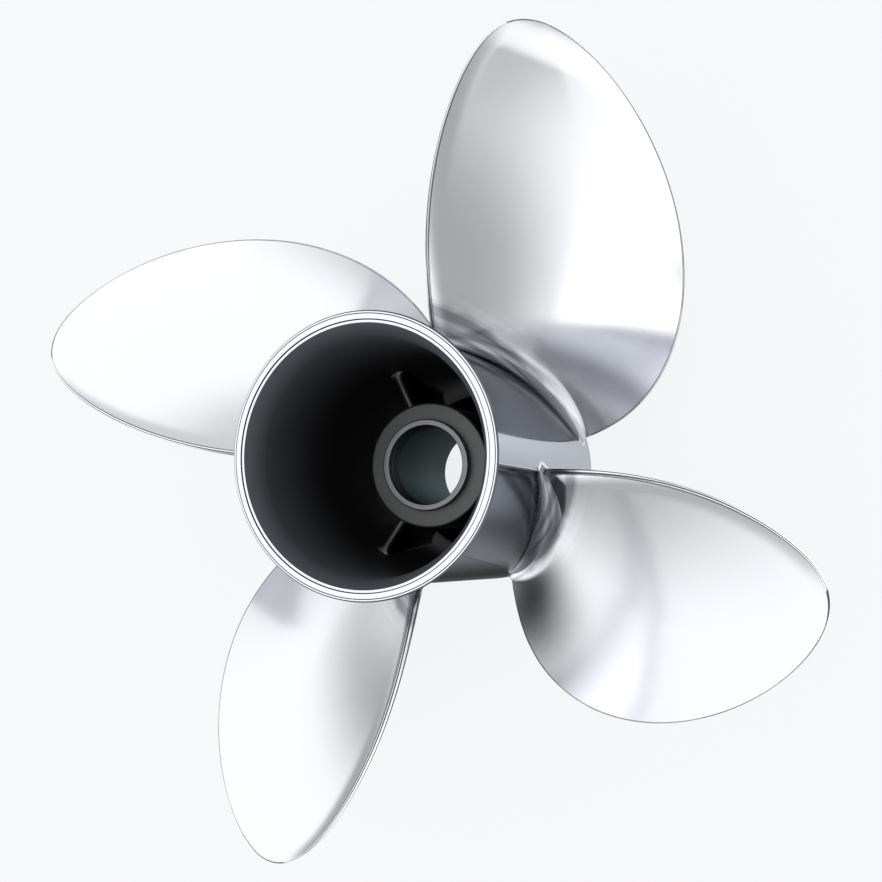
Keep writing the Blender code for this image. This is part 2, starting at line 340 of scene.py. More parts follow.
# Near black for the ring's fine grooves: painted shade in them.
GROOVE_SHADE_STEEL = as_cast_steel("painted_shade_in_grooves", "#141416", "#1c1c1e", 0.7, grazing="#404040")
print("made", CHAMBER_STEEL.name, HUB_STEEL.name, RIB_STEEL.name)
print("made", BORE_STEEL.name, COLLAR_STEEL.name, PAINTED_EDGE_STEEL.name, GROOVE_SHADE_STEEL.name)

# %% [markdown]
# ## Turned pieces
#
# The barrel, the ring, the inner hub and its collar are all bodies of revolution. The
# Screw modifier or a Spin would turn a profile, but a mirror finish shows every shading
# fault, so the mesh is written here: corners are rounded with true arcs, and each
# straight run gets an extra ring of points close to both of its ends. Those hold the
# normals of the flat parts still, and the arcs alone bend the light.

# %% Define the turning
def rounded(corners, arc_steps=5, hold=0.2 * MM):
    """A closed profile of (radius, height, rounding) corners as (radius, height) points."""
    points = []
    count = len(corners)
    for i, (radius, height, rounding) in enumerate(corners):
        corner = Vector((radius, height))
        before = Vector(corners[i - 1][:2]) - corner
        after = Vector(corners[(i + 1) % count][:2]) - corner
        if rounding == 0:
            points.append(corner)
            continue
        half_angle = before.angle(after) / 2
        reach = rounding / math.tan(half_angle)
        start = corner + before.normalized() * reach
        end = corner + after.normalized() * reach
        middle = corner + (before.normalized() + after.normalized()).normalized() * (
            rounding / math.sin(half_angle)
        )
        points.append(start + before.normalized() * hold)
        for step in range(arc_steps + 1):
            chord = start.lerp(end, step / arc_steps) - middle
            points.append(middle + chord.normalized() * rounding)
        points.append(end + after.normalized() * hold)
    return points


CREASE = math.radians(35)


def new_piece(name, points, faces, *materials):
    """A mesh object, shaded smooth except over creases, and linked to the scene."""
    mesh = bpy.data.meshes.new(name)
    mesh.from_pydata([tuple(point) for point in points], [], faces)
    for material in materials:
        mesh.materials.append(material)
    mesh.shade_smooth()
    mesh.set_sharp_from_angle(angle=CREASE)
    piece = bpy.data.objects.new(name, mesh)
    bpy.context.scene.collection.objects.link(piece)
    return piece


def turned(name, profile, steps, *materials):
    """The closed profile turned about the shaft; it runs down outside and up inside."""
    points = []
    faces = []
    count = len(profile)
    for turn in range(steps):
        angle = math.tau * turn / steps
        for radius, height in profile:
            points.append((radius * math.cos(angle), radius * math.sin(angle), height))
        for i in range(count):
            j = (i + 1) % count
            here, there = turn * count, (turn + 1) % steps * count
            faces.append((here + i, here + j, there + j, there + i))
    return new_piece(name, points, faces, *materials)


square_bar = [(3, 1, 0.1), (3, 0, 0.1), (2, 0, 0.1), (2, 1, 0.1)]
print("a square bar with rounded corners gets", len(rounded(square_bar)), "points")

# %% [markdown]
# ## The barrel and its flared ring
#
# The barrel tapers slowly from the forward rim to a neck, and the ring flares out of
# the neck like a trumpet's mouth. Inside, the exhaust passages widen into the chamber.
# The ring's aft face is turned: a narrow bead outside, a fine groove, a broad flat
# band, a step down with a second groove at its foot, and a narrow inner band. In the
# photograph those grooves draw the thin dark lines round the ring, so they are cut into
# the profile here. Barrel and ring are two pieces, as in the solids, that meet at the
# neck with the same tangent, so the polish runs on without a seam.
#
# Which finish a face gets follows from where it lies, so it is chosen by radius and
# height after the turning.

# %% Turn the barrel and the ring
HUB_LENGTH = 158 * MM
FRONT_RADIUS = 57 * MM
NECK_RADIUS = 53.3 * MM
NECK_HEIGHT = 138 * MM
SOCKET_RADIUS = 51.5 * MM
SOCKET_DEPTH = 6 * MM
PASSAGE_RADIUS = 41.5 * MM
CHAMBER_RADIUS = 50 * MM
CHAMBER_FLOOR = 80 * MM
RING_RADIUS = 58.9 * MM
FLARE_DEPTH = 12 * MM
BEAD_WIDTH = 1.1 * MM
FACE_WIDTH = 2.4 * MM
STEP_DEPTH = 0.5 * MM
STEP_WIDTH = 1.4 * MM
GROOVE_WIDTH = 0.4 * MM
GROOVE_DEPTH = 0.35 * MM
SKIN_RADIUS = 52 * MM
FRONT_FINISH = 0.7 * MM
RIM_WIDTH = 0.55 * MM
RIM_DEPTH = 1.6 * MM
FLARE_START = 0.7 * MM
FLARE_FINISH = 2.5 * MM
HAIR = 0.05 * MM
TURN_STEPS = 256
FLARE_STEPS = 16
AS_CAST, BARREL_SHADE_SLOT, GROOVE_SHADE_SLOT, PAINTED_EDGE_SLOT = 1, 2, 3, 4


def barrel_radius(height):
    """The barrel's outer radius: a slow taper from the forward rim to the neck."""
    return FRONT_RADIUS + (NECK_RADIUS - FRONT_RADIUS) * height / NECK_HEIGHT


barrel_profile = rounded(
    [
        (NECK_RADIUS, NECK_HEIGHT, 0),
        (FRONT_RADIUS, 0, 1.5 * MM),
        (SOCKET_RADIUS, 0, 0.6 * MM),
        (SOCKET_RADIUS, SOCKET_DEPTH, 0.6 * MM),
        (PASSAGE_RADIUS, SOCKET_DEPTH, 1 * MM),
        (CHAMBER_RADIUS, CHAMBER_FLOOR, 0),
        (CHAMBER_RADIUS, NECK_HEIGHT, 0),
    ]
)
barrel = turned("hub_barrel_skin", barrel_profile, TURN_STEPS, BARREL_STEEL, CHAMBER_STEEL)

bead_radius = RING_RADIUS - BEAD_WIDTH
face_radius = bead_radius - FACE_WIDTH
mouth_radius = face_radius - STEP_WIDTH
flare = []
for i in range(FLARE_STEPS + 1):
    share = i / FLARE_STEPS
    height = HUB_LENGTH - FLARE_START - FLARE_DEPTH * share
    neck = barrel_radius(height)
    flare.append((neck + (RING_RADIUS - neck) * (1 - share) ** 2, height, 0))
mouth = []
for i in range(FLARE_STEPS + 1):
    share = i / FLARE_STEPS
    radius = CHAMBER_RADIUS + (mouth_radius - CHAMBER_RADIUS) * share**2
    mouth.append((radius, HUB_LENGTH - STEP_DEPTH - FLARE_DEPTH * (1 - share), 0))
ring_profile = rounded(
    [
        (face_radius, HUB_LENGTH, 0.12 * MM),
        (bead_radius - GROOVE_WIDTH, HUB_LENGTH, 0.06 * MM),
        (bead_radius - GROOVE_WIDTH / 2, HUB_LENGTH - GROOVE_DEPTH, 0),
        (bead_radius, HUB_LENGTH, 0.06 * MM),
        (RING_RADIUS - 0.4 * MM, HUB_LENGTH, 0.3 * MM),
        *flare,
        (NECK_RADIUS, NECK_HEIGHT, 0),
        (CHAMBER_RADIUS, NECK_HEIGHT, 0),
        *mouth,
        (face_radius - GROOVE_WIDTH, HUB_LENGTH - STEP_DEPTH, 0.06 * MM),
        (face_radius - GROOVE_WIDTH / 4, HUB_LENGTH - STEP_DEPTH - GROOVE_DEPTH, 0),
    ],
    arc_steps=4,
    hold=0.04 * MM,
)
ring = turned(
    "flared_ring_skin",
    ring_profile,
    TURN_STEPS,
    STEEL,
    CHAMBER_STEEL,
    BARREL_STEEL,
    GROOVE_SHADE_STEEL,
    PAINTED_EDGE_STEEL,
)


def leave_inside_as_cast(piece, lowest, highest):
    """Leaves as cast what doesn't face outwards between these heights."""
    for face in piece.data.polygons:
        outwards = face.normal.xy.dot(face.center.xy.normalized())
        if lowest < face.center.z < highest and outwards < 0.05:
            face.material_index = AS_CAST


def finish_between(piece, slot, radii, heights):
    """Gives this finish to every face whose middle lies between the radii and heights."""
    for face in piece.data.polygons:
        radius = face.center.xy.length
        if radii[0] < radius < radii[1] and heights[0] < face.center.z < heights[1]:
            face.material_index = slot


leave_inside_as_cast(barrel, FRONT_FINISH, HUB_LENGTH)
# The outside of the flare takes the barrel's steel, with its painted shade.
finish_between(ring, BARREL_SHADE_SLOT, (SKIN_RADIUS, 1), (0, HUB_LENGTH - FLARE_FINISH))
# The ring's outer rim is painted dark: painted reflection and shade along its edge.
finish_between(ring, PAINTED_EDGE_SLOT, (RING_RADIUS - RIM_WIDTH, 1), (HUB_LENGTH - RIM_DEPTH, 1))
leave_inside_as_cast(ring, 0, HUB_LENGTH - STEP_DEPTH - HAIR)
# The ring's fine grooves are painted near black: painted shade in them.
groove_heights = (HUB_LENGTH - STEP_DEPTH - GROOVE_DEPTH, HUB_LENGTH - HAIR)
finish_between(ring, GROOVE_SHADE_SLOT, (bead_radius - GROOVE_WIDTH, bead_radius), groove_heights)
finish_between(ring, GROOVE_SHADE_SLOT, (face_radius - GROOVE_WIDTH, face_radius + HAIR / 5), groove_heights)
print("barrel", len(barrel.data.polygons), "faces, ring", len(ring.data.polygons))

# %% [markdown]
# ## The inner hub and its collar
#
# The inner hub is a thick tube set back inside the barrel. A rubber or plastic drive
# bushing is pressed into its bore; here the bore is empty, and daylight shows through
# it. The collar round its mouth is faced flat, because the shaft's nut bears on it. The
# bore's own wall takes a darker colour: painted shade.

# %% Turn the inner hub and the collar
INNER_HUB_RADIUS = 29.3 * MM
INNER_HUB_FRONT = 8 * MM
INNER_HUB_AFT = 86 * MM
BORE_RADIUS = 22 * MM
MOUTH_RADIUS = 18.3 * MM
MOUTH_LENGTH = 8 * MM
COLLAR_RADIUS = 21.2 * MM
COLLAR_HEIGHT = 4 * MM
HUB_STEPS = 160

inner_hub_profile = rounded(
    [
        (INNER_HUB_RADIUS, INNER_HUB_AFT, 1.2 * MM),
        (INNER_HUB_RADIUS, INNER_HUB_FRONT, 1 * MM),
        (BORE_RADIUS, INNER_HUB_FRONT, 0.6 * MM),
        (BORE_RADIUS, INNER_HUB_AFT - MOUTH_LENGTH, 0.4 * MM),
        (MOUTH_RADIUS, INNER_HUB_AFT - MOUTH_LENGTH, 0.4 * MM),
        (MOUTH_RADIUS, INNER_HUB_AFT, 0.2 * MM),
    ]
)
inner_hub = turned("inner_hub_skin", inner_hub_profile, HUB_STEPS, HUB_STEEL, BORE_STEEL)
# The bore takes the second material, with its painted shade.
finish_between(inner_hub, AS_CAST, (0, BORE_RADIUS + 0.1 * MM), (0, INNER_HUB_AFT - 0.5 * MM))
collar_profile = rounded(
    [
        (COLLAR_RADIUS, INNER_HUB_AFT + COLLAR_HEIGHT, 0.6 * MM),
        (COLLAR_RADIUS, INNER_HUB_AFT, 0),
        (MOUTH_RADIUS, INNER_HUB_AFT, 0),
        (MOUTH_RADIUS, INNER_HUB_AFT + COLLAR_HEIGHT, 0.5 * MM),
    ]
)
collar = turned("nut_collar_skin", collar_profile, HUB_STEPS, COLLAR_STEEL, BORE_STEEL)
finish_between(collar, AS_CAST, (0, MOUTH_RADIUS + 0.1 * MM), (0, INNER_HUB_AFT + 3.2 * MM))
print("inner hub", len(inner_hub.data.polygons), "faces, collar", len(collar.data.polygons))

# %% [markdown]
# ## Copies round the shaft
#
# Ribs, ridges and blades each repeat round the shaft. Copying them by hand would repeat
# the same numbers, so a Geometry Nodes tree does it: it puts one instance on each point
# of a line of points that all lie at the origin, turned by a full circle divided by the
# count. Realize Instances makes real faces of them, because the export drops instances.
# Faces marked as painted dark edges get a second material: painted dark reflection and
# shade. Only the blades have such faces.

# %% Build the tree that copies round the shaft
def new_tree(name, sockets):
    """A geometry tree with these inputs, each (name, kind, value), and their sockets."""
    tree = bpy.data.node_groups.new(name, "GeometryNodeTree")
    tree.is_modifier = True
    tree.interface.new_socket("Geometry", in_out="INPUT", socket_type="NodeSocketGeometry")
    tree.interface.new_socket("Geometry", in_out="OUTPUT", socket_type="NodeSocketGeometry")
    for label, kind, value in sockets:
        socket = tree.interface.new_socket(label, in_out="INPUT", socket_type=kind)
        if value is not None:
            socket.default_value = value
    return tree, add_node(tree, "NodeGroupInput").outputs


COPIES, given = new_tree(
    "copies_round_the_shaft",
    [
        ("Count", "NodeSocketInt", 4),
        ("First angle", "NodeSocketFloat", 0.0),
        ("Finish", "NodeSocketMaterial", None),
        ("Painted edge", "NodeSocketMaterial", None),
    ],
)
places = add_node(
    COPIES, "GeometryNodeMeshLine", {"Count": given["Count"], "Offset": (0, 0, 0)}
)
number = add_node(COPIES, "GeometryNodeInputIndex").outputs["Index"]
step = maths(COPIES, "DIVIDE", math.tau, given["Count"])
turn = maths(COPIES, "MULTIPLY_ADD", number, step, given["First angle"])
rotation = add_node(COPIES, "ShaderNodeCombineXYZ", {"Z": turn})
copies = add_node(
    COPIES,
    "GeometryNodeInstanceOnPoints",
    {
        "Points": places.outputs["Mesh"],
        "Instance": given["Geometry"],
        "Rotation": rotation.outputs["Vector"],
    },
)
real = add_node(COPIES, "GeometryNodeRealizeInstances", {"Geometry": copies.outputs[0]})
dressed = add_node(
    COPIES,
    "GeometryNodeSetMaterial",
    {"Geometry": real.outputs["Geometry"], "Material": given["Finish"]},
)
# Faces marked as painted dark edges get the second material: painted reflection and shade.
painted_edge_mark = add_node(
    COPIES, "GeometryNodeInputNamedAttribute", {"Name": "painted_edge_mark"}, data_type="BOOLEAN"
)
edged = add_node(
    COPIES,
    "GeometryNodeSetMaterial",
    {
        "Geometry": dressed.outputs["Geometry"],
        "Selection": painted_edge_mark.outputs["Attribute"],
        "Material": given["Painted edge"],
    },
)
add_node(COPIES, "NodeGroupOutput", {"Geometry": edged.outputs["Geometry"]})


def run_trees(piece, *steps):
    """Runs (tree, {input name: value}) steps on the piece and keeps the plain mesh."""
    for tree, values in steps:
        modifier = piece.modifiers.new(tree.name, "NODES")
        modifier.node_group = tree
        for socket in tree.interface.items_tree:
            if socket.name in values:
                modifier[socket.identifier] = values[socket.name]
    graph = bpy.context.evaluated_depsgraph_get()
    mesh = bpy.data.meshes.new_from_object(piece.evaluated_get(graph), depsgraph=graph)
    piece.modifiers.clear()
    piece.data = mesh
    print(piece.name, "has", len(mesh.polygons), "faces")


print("tree", COPIES.name, "has", len(COPIES.nodes), "nodes")

# %% [markdown]
# ## The ribs
#
# Each rib is a thin plate from the inner hub to the barrel's wall, with rounded aft and
# forward edges. Where it meets either wall it thickens in a small fillet, which the
# photograph shows as a widening at both ends. One rib is drawn along +X: a column of
# outlines from the hub outwards, each as wide as the fillets make it there.

# %% Draw one rib and copy it
RIBS = 3
FIRST_RIB_ANGLE = 12.5
RIB_THICKNESS = 3.4 * MM
RIB_FRONT = 25 * MM
RIB_AFT = 76 * MM
RIB_FILLET = 4 * MM
RIB_SINK = 0.3 * MM
RIB_STATIONS = 20


def passage_radius(height):
    """The inside of the barrel's wall beside the ribs."""
    share = (height - SOCKET_DEPTH) / (CHAMBER_FLOOR - SOCKET_DEPTH)
    return PASSAGE_RADIUS + (CHAMBER_RADIUS - PASSAGE_RADIUS) * min(max(share, 0), 1)


def fillet_width(distance, radius):
    """How much wider a fillet makes a plate, this far from the wall it runs into."""
    short = np.clip(radius - distance, 0, radius)
    return radius - np.sqrt(radius**2 - short**2)


def rib_outline(share):
    """Points round the rib, this share of the way from the inner hub to the wall."""
    points = []
    round_steps = 8
    for end, side in ((RIB_AFT, 1), (RIB_FRONT, -1)):
        for i in range(round_steps + 1):
            angle = math.pi * (i / round_steps - 0.5)
            height = end - side * RIB_THICKNESS / 2
            inner = INNER_HUB_RADIUS - RIB_SINK
            outer = passage_radius(height) + RIB_SINK
            radius = inner + (outer - inner) * share
            grown = fillet_width(radius - inner, RIB_FILLET)
            grown += fillet_width(outer - radius, RIB_FILLET)
            wide = RIB_THICKNESS / 2 + grown
            across = side * wide * math.sin(angle)
            lift = side * RIB_THICKNESS / 2 * math.cos(angle)
            points.append((radius, -across, height + lift))
    return points


def lofted(name, outlines, material):
    """A closed skin through outlines of equal length, with flat ends."""
    count = len(outlines[0])
    points = [point for outline in outlines for point in outline]
    faces = [tuple(range(count))[::-1]]
    faces.append(tuple(range(len(points) - count, len(points))))
    for k in range(len(outlines) - 1):
        for i in range(count):
            j = (i + 1) % count
            low, high = k * count, (k + 1) * count
            faces.append((low + i, low + j, high + j, high + i))
    return new_piece(name, points, faces, material)


rib_shares = [0.5 - 0.5 * math.cos(math.pi * i / RIB_STATIONS) for i in range(RIB_STATIONS + 1)]
ribs = lofted("exhaust_ribs", [rib_outline(share) for share in rib_shares], RIB_STEEL)
run_trees(
    ribs,
    (COPIES, {"Count": RIBS, "First angle": math.radians(FIRST_RIB_ANGLE), "Finish": RIB_STEEL}),
)

# %% [markdown]
# ## The ridges
#
# From the root of each blade's trailing edge a thin crest runs straight aft along the
# barrel and dies in the ring's flare, probably a seam of the wax pattern that polishing
# left. Its flanks are hollow, so that it stands up sharply from the polished skin:
# the photograph shows it as one dark and one bright line. It is lofted from small
# outlines that follow the barrel's taper, copied like the ribs, and has the barrel's
# finish.

# %% Draw one ridge and copy it
BLADES = 4
RIDGE_ANGLE = 13
RIDGE_HEIGHT = 0.8 * MM
RIDGE_HALF_WIDTH = 1.5 * MM
RIDGE_FRONT = 84 * MM
RIDGE_AFT = 150 * MM
RIDGE_HOLLOW = 1.8
RIDGE_STEPS = 8
RIDGE_STATIONS = 24


def ridge_outline(share):
    """Points across the ridge and back under the barrel's skin."""
    height = RIDGE_FRONT + (RIDGE_AFT - RIDGE_FRONT) * share
    skin = barrel_radius(height)
    across = [i / RIDGE_STEPS - 1 for i in range(2 * RIDGE_STEPS + 1)]
    points = []
    for t in across:
        points.append((t, skin + RIDGE_HEIGHT * (1 - abs(t)) ** RIDGE_HOLLOW - 0.02 * MM))
    for t in across[::-1]:
        points.append((t, skin - 0.4 * MM))
    angles = [math.radians(RIDGE_ANGLE) + t * RIDGE_HALF_WIDTH / skin for t, _ in points]
    return [
        (radius * math.cos(angle), radius * math.sin(angle), height)
        for angle, (_, radius) in zip(angles, points)
    ]


ridge_outlines = [ridge_outline(i / RIDGE_STATIONS) for i in range(RIDGE_STATIONS + 1)]
ridges = lofted("casting_ridges", ridge_outlines, BARREL_STEEL)
run_trees(ridges, (COPIES, {"Count": BLADES, "First angle": 0.0, "Finish": BARREL_STEEL}))

# %% [markdown]
# ## A blade, drawn flat
#
# A propeller's drawing shows its blade unrolled: at each radius a flat section, as if
# cut by a cylinder round the shaft and laid out straight. This cell draws those
# sections: x is the radius, y the way along the chord from the leading edge to the
# trailing edge, z the height towards aft. The driving face is slightly hollow and ends
# in the cup, a lip some millimetres wide that curls aft. The leading edge is round and
# the trailing edge blunt. Near the barrel the section swells into the root fillet,
# which stands square on the barrel's skin. The next cell wraps it on its helix.
#
# The leading edge and the tip are painted dark all round. The trailing edge is a narrow
# face of its own, three to four millimetres wide at the root: both of its corners are
# painted dark, and so is the fine line where it meets the driving face. Between them it
# is buffed, and the photograph shows dark and bright lines side by side. These dark
# lines are painted reflection and shade. What is painted is marked here, by its
# distance from the blade's outline.

# %% Draw the flat blade
FIRST_BLADE_ANGLE = 90
TIP_RADIUS = 190 * MM
ROOT_RADIUS = 53.7 * MM
PITCH = 411 * MM
GENERATOR_HEIGHT = 72.3 * MM
RAKE = 22.1
TIP_ANGLE = -3.3
SKEW = 18
CHORD = (50.5 * MM, 66.9 * MM, -38.6 * MM)
ROOT_THICKNESS = 8 * MM
TIP_THICKNESS = 2.6 * MM
LEADING_THICKNESS = 1.7 * MM
TRAILING_ROOT_THICKNESS = 3.6 * MM
TRAILING_TIP_THICKNESS = 2.2 * MM
FACE_LIFT = 1.1 * MM
FACE_HOLLOW = 1.5 * MM
CUP_DEPTH = 1.2 * MM
CUP_WIDTH = 8 * MM
CUP_FADE = 0.1
EDGE_ROUND = 0.9 * MM
TIP_ROUND = 1.1 * MM
FACE_FILLET = 11 * MM
BACK_FILLET = 9 * MM
EDGE_FILLET = 3.5 * MM
MIDDLE_TAPER = 1.3
SECTION_FULLNESS = 1.6
TRAILING_SQUARENESS = 0.7
FILLET_STEPS = 14
SPAN_STEPS = 90
LAST_SHARE = 0.9985
HELIX = PITCH / math.tau
SPAN = TIP_RADIUS - ROOT_RADIUS


def half_chord(u):
    """Half the blade's width, at u from 0 at the root to 1 at the tip."""
    growth = CHORD[0] + CHORD[1] * u + CHORD[2] * u**3
    return np.sqrt(np.clip(1 - u * u, 1e-9, None)) * growth


WIDEST = half_chord(np.linspace(0, 1, 101)).max()


def blade_thickness(u, s):
    """Thick at the root's middle, thin at the edges; s is -1 leading and 1 trailing."""
    to_root = np.clip(1 - u, 0, 1)
    trailing = TRAILING_TIP_THICKNESS
    trailing = trailing + (TRAILING_ROOT_THICKNESS - TRAILING_TIP_THICKNESS) * to_root
    edge = LEADING_THICKNESS + (trailing - LEADING_THICKNESS) * (1 + s) / 2
    middle = TIP_THICKNESS + (ROOT_THICKNESS - TIP_THICKNESS) * to_root**MIDDLE_TAPER
    full = edge + (middle - edge) * np.clip(1 - s * s, 0, 1) ** SECTION_FULLNESS
    short = 1 - np.clip((1 - u) * SPAN / TIP_ROUND, 0, 1)
    return full * np.sqrt(1 - short**2)


def section_walk(face_steps=52, cap_steps=7):
    """The way round a section: (place on the face, cap angle, side) for each point.

    A face place runs from -1 to 1. At a cap the place stays at its edge and the angle
    goes from 0 to a right angle and back. Side is 1 on the driving face.
    """
    face = [-math.cos(math.pi * i / face_steps) for i in range(face_steps + 1)]
    cap = [math.pi / 2 * i / cap_steps for i in range(1, cap_steps + 1)]
    walk = [(place, 0, 1) for place in face]
    walk += [(1, angle, 1) for angle in cap]
    walk += [(1, angle, -1) for angle in cap[-2::-1]]
    walk += [(place, 0, -1) for place in face[::-1]]
    walk += [(-1, angle, -1) for angle in cap]
    walk += [(-1, angle, 1) for angle in cap[-2::-1]]
    return np.array(walk)


WALK = section_walk()


def section(u):
    """Chord and height of every point of the walk, each at its own u."""
    place, angle, side = WALK.T
    half = half_chord(u)
    cap = np.minimum(EDGE_ROUND, 0.45 * half)
    trailing = place > 0
    reach, squash = np.sin(angle), np.cos(angle)
    reach = np.where(trailing, reach**TRAILING_SQUARENESS, reach)
    squash = np.where(trailing, squash**TRAILING_SQUARENESS, squash)
    chord = place * (half - cap) + np.sign(place) * cap * reach
    s = np.clip(chord / half, -1, 1)
    to_tip = np.clip((1 - u) / CUP_FADE, 0, 1)
    fade = to_tip * to_tip * (3 - 2 * to_tip)
    inside = np.clip((half - chord) / CUP_WIDTH, 0, 1)
    lip = CUP_DEPTH * (1 - (1 - inside) ** 2) * np.clip(1 + s, 0, 1) * fade
    hollow = FACE_HOLLOW * (half / WIDEST) ** 2 * (1 - s * s) + lip
    full = blade_thickness(u, s)
    middle = FACE_LIFT - hollow - full / 2
    return chord, middle + side * full / 2 * squash, s


def helix_height(radius, chord, lift):
    """How high above the forward rim a point of the flat blade lands."""
    u = (radius - ROOT_RADIUS) / SPAN
    slant = np.hypot(radius, HELIX)
    angle = math.radians(TIP_ANGLE) - math.radians(SKEW) * (1 - u * u) + chord / slant
    rake = (radius - ROOT_RADIUS) * math.tan(math.radians(RAKE))
    return GENERATOR_HEIGHT + rake + HELIX * angle + lift * radius / slant


def fillet_radius():
    """The root fillet's radius all round the walk: small at both edges."""
    place, _, side = WALK.T
    widest = np.where(side > 0, FACE_FILLET, BACK_FILLET)
    return EDGE_FILLET + (widest - EDGE_FILLET) * np.clip(1 - place**2, 0, 1) ** 0.8


def fillet_ring(turn):
    """The walk on the root fillet, from its foot at 0 to its end at a right angle."""
    size = fillet_radius()
    above = size * (1 - math.cos(turn))
    out = size * (1 - math.sin(turn))
    radius = np.full(len(WALK), ROOT_RADIUS)
    for _ in range(4):
        chord, lift, _ = section((radius - ROOT_RADIUS) / SPAN)
        along = np.roll(chord, -1) - np.roll(chord, 1)
        rise = np.roll(lift, -1) - np.roll(lift, 1)
        length = np.hypot(along, rise)
        chord = chord - out * rise / length
        lift = lift + out * along / length
        radius = barrel_radius(helix_height(radius, chord, lift)) + above
    return np.stack([radius, chord, lift], axis=1)


fillet_rings = []
for i in range(FILLET_STEPS + 1):
    fillet_rings.append(fillet_ring(math.pi / 2 * (i / FILLET_STEPS) ** 0.8))
rings = list(fillet_rings)
start = (fillet_rings[-1][:, 0] - ROOT_RADIUS) / SPAN
for i in range(1, SPAN_STEPS + 1):
    share = math.sin(math.pi / 2 * i / SPAN_STEPS * LAST_SHARE)
    u = start + (1 - start) * share
    chord, lift, _ = section(u)
    rings.append(np.stack([ROOT_RADIUS + u * SPAN, chord, lift], axis=1))
blades = lofted("blades", rings, BLADE_STEEL)

# The painted dark edges along the outline: painted reflection and shade.
PAINTED_EDGE_WIDTH = 0.5 * MM
TIP_ZONE = 4 * MM
CORNER_ANGLES = (0.6, 1.4)
CREASE_PLACE = 0.99
SMALL_STEP = 1e-4

place, angle, side = WALK.T
at_corner = (place > 0) & (CORNER_ANGLES[0] < angle) & (angle < CORNER_ANGLES[1])
at_crease = (side > 0) & (angle == 0) & (np.abs(place) > CREASE_PLACE)
trailing_step = (at_corner & np.roll(at_corner, -1)) | (at_crease & np.roll(at_crease, -1))
leading_step = place < 0
painted_edge_faces = np.zeros(len(blades.data.polygons), dtype=bool)
for k in range(len(fillet_rings), len(rings) - 1):
    radius, chord, _ = (rings[k] + rings[k + 1]).T / 2
    u = (radius - ROOT_RADIUS) / SPAN
    slope = (half_chord(u + SMALL_STEP) - half_chord(u)) / (SMALL_STEP * SPAN)
    inwards = (half_chord(u) - np.abs(chord)) / np.hypot(1, slope)
    near_tip = TIP_RADIUS - radius < TIP_ZONE
    outermost = (leading_step | near_tip) & (inwards < PAINTED_EDGE_WIDTH)
    first = 2 + k * len(WALK)
    painted_edge_faces[first : first + len(WALK)] = outermost | trailing_step
blades.data.attributes.new("painted_edge_mark", "BOOLEAN", "FACE").data.foreach_set("value", painted_edge_faces)
print("one flat blade has", len(rings), "sections of", len(WALK), "points")

# %% [markdown]
# ## Wrap it on its helix
#
# A right-hand propeller screws itself through the water, so each flat section is bent
# round the shaft along a helix of the blade's pitch. That is a rule for every point,
# which makes it a task for Geometry Nodes: the tree reads a point's radius, chord and
# height, and sets its place from them. The table names each step of the sum, so the
# same rule can be read here and in the node editor. Then the copying tree makes four.

# %% Build the wrapping tree and run it
WRAP, given = new_tree(
    "wrap_on_the_pitch_helix",
    [
        ("Pitch", "NodeSocketFloat", PITCH),
        ("Root radius", "NodeSocketFloat", ROOT_RADIUS),
        ("Tip radius", "NodeSocketFloat", TIP_RADIUS),
        ("Generator height", "NodeSocketFloat", GENERATOR_HEIGHT),
        ("Rake slope", "NodeSocketFloat", math.tan(math.radians(RAKE))),
        ("Tip angle", "NodeSocketFloat", math.radians(TIP_ANGLE)),
        ("Skew", "NodeSocketFloat", math.radians(SKEW)),
    ],
)
position = add_node(WRAP, "GeometryNodeInputPosition").outputs["Position"]
flat = add_node(WRAP, "ShaderNodeSeparateXYZ", {"Vector": position}).outputs
values = {socket.name: socket for socket in given if socket.name}
values.update(radius=flat["X"], chord=flat["Y"], lift=flat["Z"])
sums = [
    ("beyond root", "SUBTRACT", "radius", "Root radius"),
    ("span", "SUBTRACT", "Tip radius", "Root radius"),
    ("u", "DIVIDE", "beyond root", "span"),
    ("u squared", "MULTIPLY", "u", "u"),
    ("from tip", "SUBTRACT", 1.0, "u squared"),
    ("swept", "MULTIPLY", "Skew", "from tip"),
    ("middle angle", "SUBTRACT", "Tip angle", "swept"),
    ("helix", "DIVIDE", "Pitch", math.tau),
    ("radius squared", "MULTIPLY", "radius", "radius"),
    ("helix squared", "MULTIPLY", "helix", "helix"),
    ("slant squared", "ADD", "radius squared", "helix squared"),
    ("slant", "SQRT", "slant squared", 0.0),
    ("turn", "DIVIDE", "chord", "slant"),
    ("helix angle", "ADD", "middle angle", "turn"),
    ("lift over slant", "DIVIDE", "lift", "slant"),
    ("lift back", "MULTIPLY", "lift over slant", "helix"),
    ("lift turn", "DIVIDE", "lift back", "radius"),
    ("angle", "SUBTRACT", "helix angle", "lift turn"),
    ("lift up", "MULTIPLY", "lift over slant", "radius"),
    ("rake rise", "MULTIPLY", "beyond root", "Rake slope"),
    ("helix rise", "MULTIPLY", "helix", "helix angle"),
    ("base", "ADD", "Generator height", "rake rise"),
    ("on helix", "ADD", "base", "helix rise"),
    ("z", "ADD", "on helix", "lift up"),
    ("cosine", "COSINE", "angle", 0.0),
    ("sine", "SINE", "angle", 0.0),
    ("x", "MULTIPLY", "radius", "cosine"),
    ("y", "MULTIPLY", "radius", "sine"),
]
for name, operation, first, second in sums:
    fed = {0: values.get(first, first), 1: values.get(second, second)}
    node = add_node(WRAP, "ShaderNodeMath", fed, operation=operation, label=name)
    values[name] = node.outputs[0]
wrapped = add_node(
    WRAP, "ShaderNodeCombineXYZ", {"X": values["x"], "Y": values["y"], "Z": values["z"]}
)
moved = add_node(
    WRAP,
    "GeometryNodeSetPosition",
    {"Geometry": values["Geometry"], "Position": wrapped.outputs["Vector"]},
)
add_node(WRAP, "NodeGroupOutput", {"Geometry": moved.outputs["Geometry"]})
